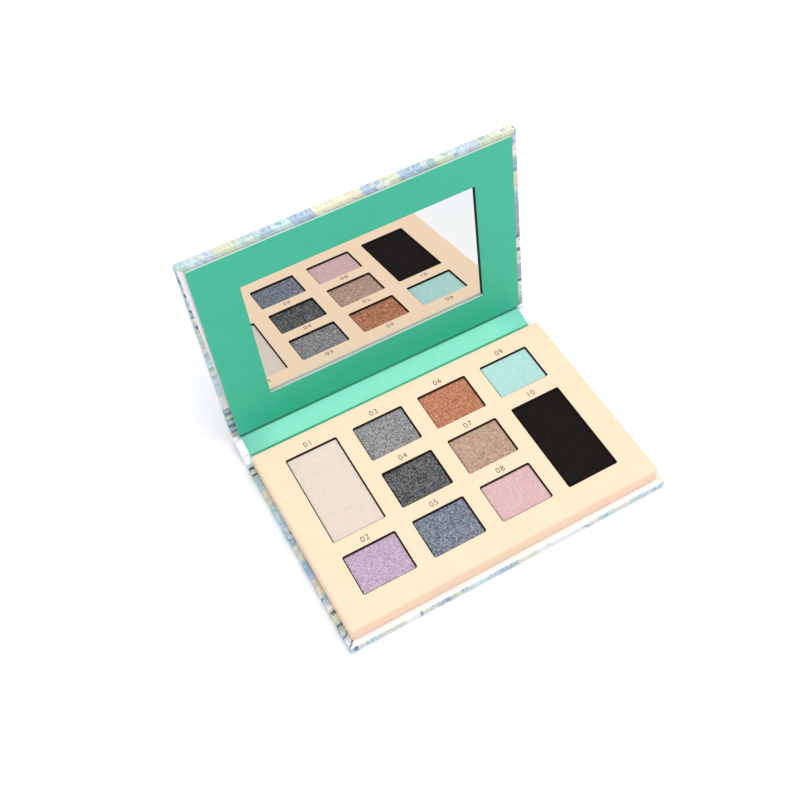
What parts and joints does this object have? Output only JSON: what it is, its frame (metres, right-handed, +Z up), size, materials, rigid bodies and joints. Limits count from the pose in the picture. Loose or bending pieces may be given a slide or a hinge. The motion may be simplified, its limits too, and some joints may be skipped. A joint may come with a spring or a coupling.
{
  "type": "eyeshadow palette",
  "caption": "Book-style eyeshadow palette of paper-wrapped board: a cream tray of pressed-powder pans, a narrow hinged spine and a lid with a card-framed mirror.",
  "frame": {"origin": "on the underside of the base cover, below the middle of the tray, on the table", "axes": "+X along the two hinges, +Y towards the hinge side, +Z up out of the tray"},
  "size_m": [0.154, 0.1322, 0.1059],
  "materials": {
    "printed_paper": "satin",
    "grey_board": "matte",
    "green_paper": "satin",
    "cream_card": "satin",
    "tray_core": "matte",
    "adhesive": "satin",
    "tinplate": "satin",
    "mirror": "polished",
    "magnet": "satin",
    "powder_white": "satin",
    "powder_violet": "satin",
    "powder_smoky_grey": "satin",
    "powder_dark_grey": "satin",
    "powder_light_grey": "satin",
    "powder_light_brown": "satin",
    "powder_light_coffee": "satin",
    "powder_light_pink": "satin",
    "powder_light_blue": "satin",
    "powder_black": "matte"
  },
  "bodies": {
    "base": {"base_wrap": "printed_paper", "base_board": "grey_board", "base_liner_tab": "green_paper", "tray_adhesive_sheet": "adhesive", "tray_cover": "cream_card", "tray_core": "tray_core", "tray_magnet_left": "magnet", "tray_magnet_right": "magnet", "pan_white": "tinplate", "powder_white": "powder_white", "pan_adhesive_white": "adhesive", "pan_violet": "tinplate", "powder_violet": "powder_violet", "pan_adhesive_violet": "adhesive", "pan_smoky_grey": "tinplate", "powder_smoky_grey": "powder_smoky_grey", "pan_adhesive_smoky_grey": "adhesive", "pan_dark_grey": "tinplate", "powder_dark_grey": "powder_dark_grey", "pan_adhesive_dark_grey": "adhesive", "pan_light_grey": "tinplate", "powder_light_grey": "powder_light_grey", "pan_adhesive_light_grey": "adhesive", "pan_light_brown": "tinplate", "powder_light_brown": "powder_light_brown", "pan_adhesive_light_brown": "adhesive", "pan_light_coffee": "tinplate", "powder_light_coffee": "powder_light_coffee", "pan_adhesive_light_coffee": "adhesive", "pan_light_pink": "tinplate", "powder_light_pink": "powder_light_pink", "pan_adhesive_light_pink": "adhesive", "pan_light_blue": "tinplate", "powder_light_blue": "powder_light_blue", "pan_adhesive_light_blue": "adhesive", "pan_black": "tinplate", "powder_black": "powder_black", "pan_adhesive_black": "adhesive"},
    "spine": {"spine_wrap": "printed_paper", "spine_board": "grey_board", "spine_liner": "green_paper"},
    "lid": {"lid_wrap": "printed_paper", "lid_board": "grey_board", "lid_mirror_board": "grey_board", "lid_magnet_left": "magnet", "lid_magnet_right": "magnet", "mirror_adhesive_sheet": "adhesive", "mirror": "mirror", "lid_liner_tab": "green_paper", "card_adhesive_sheet": "adhesive", "lid_card": "green_paper"}
  },
  "joints": [
    {"name": "spine_hinge", "type": "hinge", "parent": "base", "child": "spine", "pos_m": [0, 0.0517, 0.00185], "axis": [1, 0, 0], "range_deg": [-16, 74]},
    {"name": "lid_hinge", "type": "hinge", "parent": "spine", "child": "lid", "pos_m": [0, 0.06473, 0.00558], "axis": [1, 0, 0], "range_deg": [-65.4, 24.6]}
  ]
}
